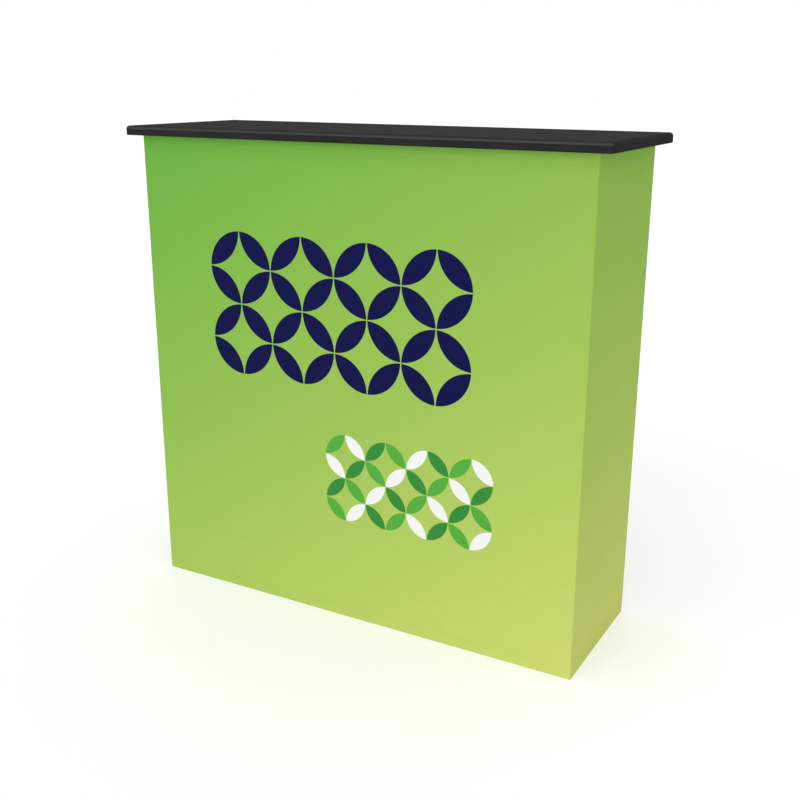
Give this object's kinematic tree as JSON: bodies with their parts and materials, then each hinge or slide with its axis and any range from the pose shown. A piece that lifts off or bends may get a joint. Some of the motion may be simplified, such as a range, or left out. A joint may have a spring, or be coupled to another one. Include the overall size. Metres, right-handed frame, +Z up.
{
  "type": "exhibition counter",
  "caption": "Free-standing pop-up display counter: a folding scissor frame in a tension fabric cover, open at the back, with a loose laminate board on top.",
  "frame": {"origin": "centre of the counter's footprint, on the ground", "axes": "+Z up; +X along the counter's width; +Y to the back, so the printed front faces -Y"},
  "size_m": [1.04, 0.36, 1],
  "materials": {
    "cover_fabric": "knitted polyester, printed green gradient",
    "board_laminate": "matt charcoal laminate",
    "bar_metal": "satin anodised",
    "black_plastic": "moulded, fine grain",
    "strut_plastic": "moulded, fine grain",
    "foot_rubber": "soft rubber"
  },
  "bodies": {
    "hub_front_centre_bottom": {"hub_front_centre_bottom": "black_plastic", "foot_front_centre": "foot_rubber", "cover_front": "cover_fabric", "cover_end_left": "cover_fabric", "cover_end_right": "cover_fabric"},
    "upright_bar_centre_lower_a": {"upright_bar_centre_lower_a": "bar_metal"},
    "upright_bar_centre_lower_b": {"upright_bar_centre_lower_b": "bar_metal"},
    "hub_back_centre_bottom": {"hub_back_centre_bottom": "black_plastic", "foot_back_centre": "foot_rubber"},
    "hub_front_centre_middle": {"hub_front_centre_middle": "black_plastic"},
    "hub_back_centre_middle": {"hub_back_centre_middle": "black_plastic"},
    "upright_bar_centre_upper_a": {"upright_bar_centre_upper_a": "bar_metal"},
    "upright_bar_centre_upper_b": {"upright_bar_centre_upper_b": "bar_metal"},
    "hub_front_centre_top": {"hub_front_centre_top": "black_plastic"},
    "hub_back_centre_top": {"hub_back_centre_top": "black_plastic"},
    "level_bar_bottom_right_a": {"level_bar_bottom_right_a": "bar_metal"},
    "level_bar_bottom_right_b": {"level_bar_bottom_right_b": "bar_metal"},
    "hub_back_right_bottom": {"hub_back_right_bottom": "black_plastic", "foot_back_right": "foot_rubber", "strut_back_right_bottom": "strut_plastic"},
    "hub_front_right_bottom": {"hub_front_right_bottom": "black_plastic", "foot_front_right": "foot_rubber", "strut_front_right_bottom": "strut_plastic"},
    "level_bar_bottom_left_b": {"level_bar_bottom_left_b": "bar_metal"},
    "level_bar_bottom_left_a": {"level_bar_bottom_left_a": "bar_metal"},
    "hub_back_left_bottom": {"hub_back_left_bottom": "black_plastic", "foot_back_left": "foot_rubber", "strut_back_left_bottom": "strut_plastic"},
    "hub_front_left_bottom": {"hub_front_left_bottom": "black_plastic", "foot_front_left": "foot_rubber", "strut_front_left_bottom": "strut_plastic"},
    "level_bar_middle_right_a": {"level_bar_middle_right_a": "bar_metal"},
    "level_bar_middle_right_b": {"level_bar_middle_right_b": "bar_metal"},
    "hub_back_right_middle": {"hub_back_right_middle": "black_plastic"},
    "hub_front_right_middle": {"hub_front_right_middle": "black_plastic"},
    "level_bar_middle_left_b": {"level_bar_middle_left_b": "bar_metal"},
    "level_bar_middle_left_a": {"level_bar_middle_left_a": "bar_metal"},
    "hub_back_left_middle": {"hub_back_left_middle": "black_plastic"},
    "hub_front_left_middle": {"hub_front_left_middle": "black_plastic"},
    "level_bar_top_right_a": {"level_bar_top_right_a": "bar_metal"},
    "level_bar_top_right_b": {"level_bar_top_right_b": "bar_metal"},
    "hub_back_right_top": {"hub_back_right_top": "black_plastic", "strut_back_right_top": "strut_plastic"},
    "hub_front_right_top": {"hub_front_right_top": "black_plastic", "strut_front_right_top": "strut_plastic"},
    "level_bar_top_left_b": {"level_bar_top_left_b": "bar_metal"},
    "level_bar_top_left_a": {"level_bar_top_left_a": "bar_metal"},
    "hub_back_left_top": {"hub_back_left_top": "black_plastic", "strut_back_left_top": "strut_plastic"},
    "hub_front_left_top": {"hub_front_left_top": "black_plastic", "strut_front_left_top": "strut_plastic"},
    "upright_bar_left_lower_a": {"upright_bar_left_lower_a": "bar_metal"},
    "upright_bar_left_lower_b": {"upright_bar_left_lower_b": "bar_metal"},
    "upright_bar_left_upper_a": {"upright_bar_left_upper_a": "bar_metal"},
    "upright_bar_left_upper_b": {"upright_bar_left_upper_b": "bar_metal"},
    "upright_bar_right_lower_a": {"upright_bar_right_lower_a": "bar_metal"},
    "upright_bar_right_lower_b": {"upright_bar_right_lower_b": "bar_metal"},
    "upright_bar_right_upper_a": {"upright_bar_right_upper_a": "bar_metal"},
    "upright_bar_right_upper_b": {"upright_bar_right_upper_b": "bar_metal"},
    "counter_board": {"counter_board": "board_laminate"}
  },
  "joints": [
    {"name": "frame_fold", "type": "hinge", "parent": "hub_front_centre_bottom", "child": "upright_bar_centre_lower_a", "pos_m": [0, -0.1452, 0.0463], "axis": [-1, 0, 0], "range_deg": [0, 53.1], "deforming": ["cover_front", "cover_end_left", "cover_end_right"]},
    {"name": "upright_bar_centre_lower_b_rivet", "type": "hinge", "parent": "upright_bar_centre_lower_a", "child": "upright_bar_centre_lower_b", "pos_m": [0, 0, 0.26165], "axis": [1, 0, 0], "range_deg": [-0.8, 107]},
    {"name": "hub_back_centre_bottom_pin", "type": "hinge", "parent": "upright_bar_centre_lower_b", "child": "hub_back_centre_bottom", "pos_m": [0, 0.1452, 0.0463], "axis": [-1, 0, 0], "range_deg": [-0.4, 53.5]},
    {"name": "hub_front_centre_middle_pin", "type": "hinge", "parent": "upright_bar_centre_lower_b", "child": "hub_front_centre_middle", "pos_m": [0, -0.1452, 0.477], "axis": [-1, 0, 0], "range_deg": [-0.4, 53.5]},
    {"name": "hub_back_centre_middle_pin", "type": "hinge", "parent": "upright_bar_centre_lower_a", "child": "hub_back_centre_middle", "pos_m": [0, 0.1452, 0.477], "axis": [1, 0, 0], "range_deg": [-0.4, 53.5]},
    {"name": "upright_bar_centre_upper_a_pin", "type": "hinge", "parent": "hub_front_centre_middle", "child": "upright_bar_centre_upper_a", "pos_m": [0, -0.1452, 0.509], "axis": [-1, 0, 0], "range_deg": [-0.4, 53.5]},
    {"name": "upright_bar_centre_upper_b_rivet", "type": "hinge", "parent": "upright_bar_centre_upper_a", "child": "upright_bar_centre_upper_b", "pos_m": [0, 0, 0.72435], "axis": [1, 0, 0], "range_deg": [-0.8, 107]},
    {"name": "hub_front_centre_top_pin", "type": "hinge", "parent": "upright_bar_centre_upper_b", "child": "hub_front_centre_top", "pos_m": [0, -0.1452, 0.9397], "axis": [-1, 0, 0], "range_deg": [-0.4, 53.5]},
    {"name": "hub_back_centre_top_pin", "type": "hinge", "parent": "upright_bar_centre_upper_a", "child": "hub_back_centre_top", "pos_m": [0, 0.1452, 0.9397], "axis": [1, 0, 0], "range_deg": [-0.4, 53.5]},
    {"name": "level_bar_bottom_right_a_pin", "type": "hinge", "parent": "hub_front_centre_bottom", "child": "level_bar_bottom_right_a", "pos_m": [0.016, -0.1452, 0.0303], "axis": [0, 0, 1], "range_deg": [-0.4, 53.5]},
    {"name": "level_bar_bottom_right_b_rivet", "type": "hinge", "parent": "level_bar_bottom_right_a", "child": "level_bar_bottom_right_b", "pos_m": [0.23135, 0, 0.0303], "axis": [0, 0, -1], "range_deg": [-0.8, 107]},
    {"name": "hub_back_right_bottom_pin", "type": "hinge", "parent": "level_bar_bottom_right_a", "child": "hub_back_right_bottom", "pos_m": [0.4467, 0.1452, 0.0303], "axis": [0, 0, -1], "range_deg": [-0.4, 53.5]},
    {"name": "hub_front_right_bottom_pin", "type": "hinge", "parent": "level_bar_bottom_right_b", "child": "hub_front_right_bottom", "pos_m": [0.4467, -0.1452, 0.0303], "axis": [0, 0, 1], "range_deg": [-0.4, 53.5]},
    {"name": "level_bar_bottom_left_b_pin", "type": "hinge", "parent": "hub_front_centre_bottom", "child": "level_bar_bottom_left_b", "pos_m": [-0.016, -0.1452, 0.0303], "axis": [0, 0, -1], "range_deg": [-0.4, 53.5]},
    {"name": "level_bar_bottom_left_a_rivet", "type": "hinge", "parent": "level_bar_bottom_left_b", "child": "level_bar_bottom_left_a", "pos_m": [-0.23135, 0, 0.0303], "axis": [0, 0, 1], "range_deg": [-0.8, 107]},
    {"name": "hub_back_left_bottom_pin", "type": "hinge", "parent": "level_bar_bottom_left_b", "child": "hub_back_left_bottom", "pos_m": [-0.4467, 0.1452, 0.0303], "axis": [0, 0, 1], "range_deg": [-0.4, 53.5]},
    {"name": "hub_front_left_bottom_pin", "type": "hinge", "parent": "level_bar_bottom_left_a", "child": "hub_front_left_bottom", "pos_m": [-0.4467, -0.1452, 0.0303], "axis": [0, 0, -1], "range_deg": [-0.4, 53.5]},
    {"name": "level_bar_middle_right_a_pin", "type": "hinge", "parent": "hub_front_centre_middle", "child": "level_bar_middle_right_a", "pos_m": [0.016, -0.1452, 0.493], "axis": [0, 0, 1], "range_deg": [-0.4, 53.5]},
    {"name": "level_bar_middle_right_b_rivet", "type": "hinge", "parent": "level_bar_middle_right_a", "child": "level_bar_middle_right_b", "pos_m": [0.23135, 0, 0.493], "axis": [0, 0, -1], "range_deg": [-0.8, 107]},
    {"name": "hub_back_right_middle_pin", "type": "hinge", "parent": "level_bar_middle_right_a", "child": "hub_back_right_middle", "pos_m": [0.4467, 0.1452, 0.493], "axis": [0, 0, -1], "range_deg": [-0.4, 53.5]},
    {"name": "hub_front_right_middle_pin", "type": "hinge", "parent": "level_bar_middle_right_b", "child": "hub_front_right_middle", "pos_m": [0.4467, -0.1452, 0.493], "axis": [0, 0, 1], "range_deg": [-0.4, 53.5]},
    {"name": "level_bar_middle_left_b_pin", "type": "hinge", "parent": "hub_front_centre_middle", "child": "level_bar_middle_left_b", "pos_m": [-0.016, -0.1452, 0.493], "axis": [0, 0, -1], "range_deg": [-0.4, 53.5]},
    {"name": "level_bar_middle_left_a_rivet", "type": "hinge", "parent": "level_bar_middle_left_b", "child": "level_bar_middle_left_a", "pos_m": [-0.23135, 0, 0.493], "axis": [0, 0, 1], "range_deg": [-0.8, 107]},
    {"name": "hub_back_left_middle_pin", "type": "hinge", "parent": "level_bar_middle_left_b", "child": "hub_back_left_middle", "pos_m": [-0.4467, 0.1452, 0.493], "axis": [0, 0, 1], "range_deg": [-0.4, 53.5]},
    {"name": "hub_front_left_middle_pin", "type": "hinge", "parent": "level_bar_middle_left_a", "child": "hub_front_left_middle", "pos_m": [-0.4467, -0.1452, 0.493], "axis": [0, 0, -1], "range_deg": [-0.4, 53.5]},
    {"name": "level_bar_top_right_a_pin", "type": "hinge", "parent": "hub_front_centre_top", "child": "level_bar_top_right_a", "pos_m": [0.016, -0.1452, 0.9557], "axis": [0, 0, 1], "range_deg": [-0.4, 53.5]},
    {"name": "level_bar_top_right_b_rivet", "type": "hinge", "parent": "level_bar_top_right_a", "child": "level_bar_top_right_b", "pos_m": [0.23135, 0, 0.9557], "axis": [0, 0, -1], "range_deg": [-0.8, 107]},
    {"name": "hub_back_right_top_pin", "type": "hinge", "parent": "level_bar_top_right_a", "child": "hub_back_right_top", "pos_m": [0.4467, 0.1452, 0.9557], "axis": [0, 0, -1], "range_deg": [-0.4, 53.5]},
    {"name": "hub_front_right_top_pin", "type": "hinge", "parent": "level_bar_top_right_b", "child": "hub_front_right_top", "pos_m": [0.4467, -0.1452, 0.9557], "axis": [0, 0, 1], "range_deg": [-0.4, 53.5]},
    {"name": "level_bar_top_left_b_pin", "type": "hinge", "parent": "hub_front_centre_top", "child": "level_bar_top_left_b", "pos_m": [-0.016, -0.1452, 0.9557], "axis": [0, 0, -1], "range_deg": [-0.4, 53.5]},
    {"name": "level_bar_top_left_a_rivet", "type": "hinge", "parent": "level_bar_top_left_b", "child": "level_bar_top_left_a", "pos_m": [-0.23135, 0, 0.9557], "axis": [0, 0, 1], "range_deg": [-0.8, 107]},
    {"name": "hub_back_left_top_pin", "type": "hinge", "parent": "level_bar_top_left_b", "child": "hub_back_left_top", "pos_m": [-0.4467, 0.1452, 0.9557], "axis": [0, 0, 1], "range_deg": [-0.4, 53.5]},
    {"name": "hub_front_left_top_pin", "type": "hinge", "parent": "level_bar_top_left_a", "child": "hub_front_left_top", "pos_m": [-0.4467, -0.1452, 0.9557], "axis": [0, 0, -1], "range_deg": [-0.4, 53.5]},
    {"name": "upright_bar_left_lower_a_pin", "type": "hinge", "parent": "hub_front_left_bottom", "child": "upright_bar_left_lower_a", "pos_m": [-0.4627, -0.1452, 0.0463], "axis": [-1, 0, 0], "range_deg": [-0.4, 53.5]},
    {"name": "upright_bar_left_lower_b_rivet", "type": "hinge", "parent": "upright_bar_left_lower_a", "child": "upright_bar_left_lower_b", "pos_m": [-0.4627, 0, 0.26165], "axis": [1, 0, 0], "range_deg": [-0.8, 107]},
    {"name": "upright_bar_left_upper_a_pin", "type": "hinge", "parent": "hub_front_left_middle", "child": "upright_bar_left_upper_a", "pos_m": [-0.4627, -0.1452, 0.509], "axis": [-1, 0, 0], "range_deg": [-0.4, 53.5]},
    {"name": "upright_bar_left_upper_b_rivet", "type": "hinge", "parent": "upright_bar_left_upper_a", "child": "upright_bar_left_upper_b", "pos_m": [-0.4627, 0, 0.72435], "axis": [1, 0, 0], "range_deg": [-0.8, 107]},
    {"name": "upright_bar_right_lower_a_pin", "type": "hinge", "parent": "hub_front_right_bottom", "child": "upright_bar_right_lower_a", "pos_m": [0.4627, -0.1452, 0.0463], "axis": [-1, 0, 0], "range_deg": [-0.4, 53.5]},
    {"name": "upright_bar_right_lower_b_rivet", "type": "hinge", "parent": "upright_bar_right_lower_a", "child": "upright_bar_right_lower_b", "pos_m": [0.4627, 0, 0.26165], "axis": [1, 0, 0], "range_deg": [-0.8, 107]},
    {"name": "upright_bar_right_upper_a_pin", "type": "hinge", "parent": "hub_front_right_middle", "child": "upright_bar_right_upper_a", "pos_m": [0.4627, -0.1452, 0.509], "axis": [-1, 0, 0], "range_deg": [-0.4, 53.5]},
    {"name": "upright_bar_right_upper_b_rivet", "type": "hinge", "parent": "upright_bar_right_upper_a", "child": "upright_bar_right_upper_b", "pos_m": [0.4627, 0, 0.72435], "axis": [1, 0, 0], "range_deg": [-0.8, 107]},
    {"name": "board_lift", "type": "slide", "parent": "hub_front_centre_top", "child": "counter_board", "axis": [0, 0, 1], "range_m": [0, 0.15]}
  ],
  "couplings": [
    {"joint": "upright_bar_centre_lower_b_rivet", "follows": "frame_fold", "ratio": 2},
    {"joint": "hub_back_centre_bottom_pin", "follows": "frame_fold", "ratio": 1},
    {"joint": "hub_front_centre_middle_pin", "follows": "frame_fold", "ratio": 1},
    {"joint": "hub_back_centre_middle_pin", "follows": "frame_fold", "ratio": 1},
    {"joint": "upright_bar_centre_upper_a_pin", "follows": "frame_fold", "ratio": 1},
    {"joint": "upright_bar_centre_upper_b_rivet", "follows": "frame_fold", "ratio": 2},
    {"joint": "hub_front_centre_top_pin", "follows": "frame_fold", "ratio": 1},
    {"joint": "hub_back_centre_top_pin", "follows": "frame_fold", "ratio": 1},
    {"joint": "level_bar_bottom_right_a_pin", "follows": "frame_fold", "ratio": 1},
    {"joint": "level_bar_bottom_right_b_rivet", "follows": "frame_fold", "ratio": 2},
    {"joint": "hub_back_right_bottom_pin", "follows": "frame_fold", "ratio": 1},
    {"joint": "hub_front_right_bottom_pin", "follows": "frame_fold", "ratio": 1},
    {"joint": "level_bar_bottom_left_b_pin", "follows": "frame_fold", "ratio": 1},
    {"joint": "level_bar_bottom_left_a_rivet", "follows": "frame_fold", "ratio": 2},
    {"joint": "hub_back_left_bottom_pin", "follows": "frame_fold", "ratio": 1},
    {"joint": "hub_front_left_bottom_pin", "follows": "frame_fold", "ratio": 1},
    {"joint": "level_bar_middle_right_a_pin", "follows": "frame_fold", "ratio": 1},
    {"joint": "level_bar_middle_right_b_rivet", "follows": "frame_fold", "ratio": 2},
    {"joint": "hub_back_right_middle_pin", "follows": "frame_fold", "ratio": 1},
    {"joint": "hub_front_right_middle_pin", "follows": "frame_fold", "ratio": 1},
    {"joint": "level_bar_middle_left_b_pin", "follows": "frame_fold", "ratio": 1},
    {"joint": "level_bar_middle_left_a_rivet", "follows": "frame_fold", "ratio": 2},
    {"joint": "hub_back_left_middle_pin", "follows": "frame_fold", "ratio": 1},
    {"joint": "hub_front_left_middle_pin", "follows": "frame_fold", "ratio": 1},
    {"joint": "level_bar_top_right_a_pin", "follows": "frame_fold", "ratio": 1},
    {"joint": "level_bar_top_right_b_rivet", "follows": "frame_fold", "ratio": 2},
    {"joint": "hub_back_right_top_pin", "follows": "frame_fold", "ratio": 1},
    {"joint": "hub_front_right_top_pin", "follows": "frame_fold", "ratio": 1},
    {"joint": "level_bar_top_left_b_pin", "follows": "frame_fold", "ratio": 1},
    {"joint": "level_bar_top_left_a_rivet", "follows": "frame_fold", "ratio": 2},
    {"joint": "hub_back_left_top_pin", "follows": "frame_fold", "ratio": 1},
    {"joint": "hub_front_left_top_pin", "follows": "frame_fold", "ratio": 1},
    {"joint": "upright_bar_left_lower_a_pin", "follows": "frame_fold", "ratio": 1},
    {"joint": "upright_bar_left_lower_b_rivet", "follows": "frame_fold", "ratio": 2},
    {"joint": "upright_bar_left_upper_a_pin", "follows": "frame_fold", "ratio": 1},
    {"joint": "upright_bar_left_upper_b_rivet", "follows": "frame_fold", "ratio": 2},
    {"joint": "upright_bar_right_lower_a_pin", "follows": "frame_fold", "ratio": 1},
    {"joint": "upright_bar_right_lower_b_rivet", "follows": "frame_fold", "ratio": 2},
    {"joint": "upright_bar_right_upper_a_pin", "follows": "frame_fold", "ratio": 1},
    {"joint": "upright_bar_right_upper_b_rivet", "follows": "frame_fold", "ratio": 2}
  ]
}
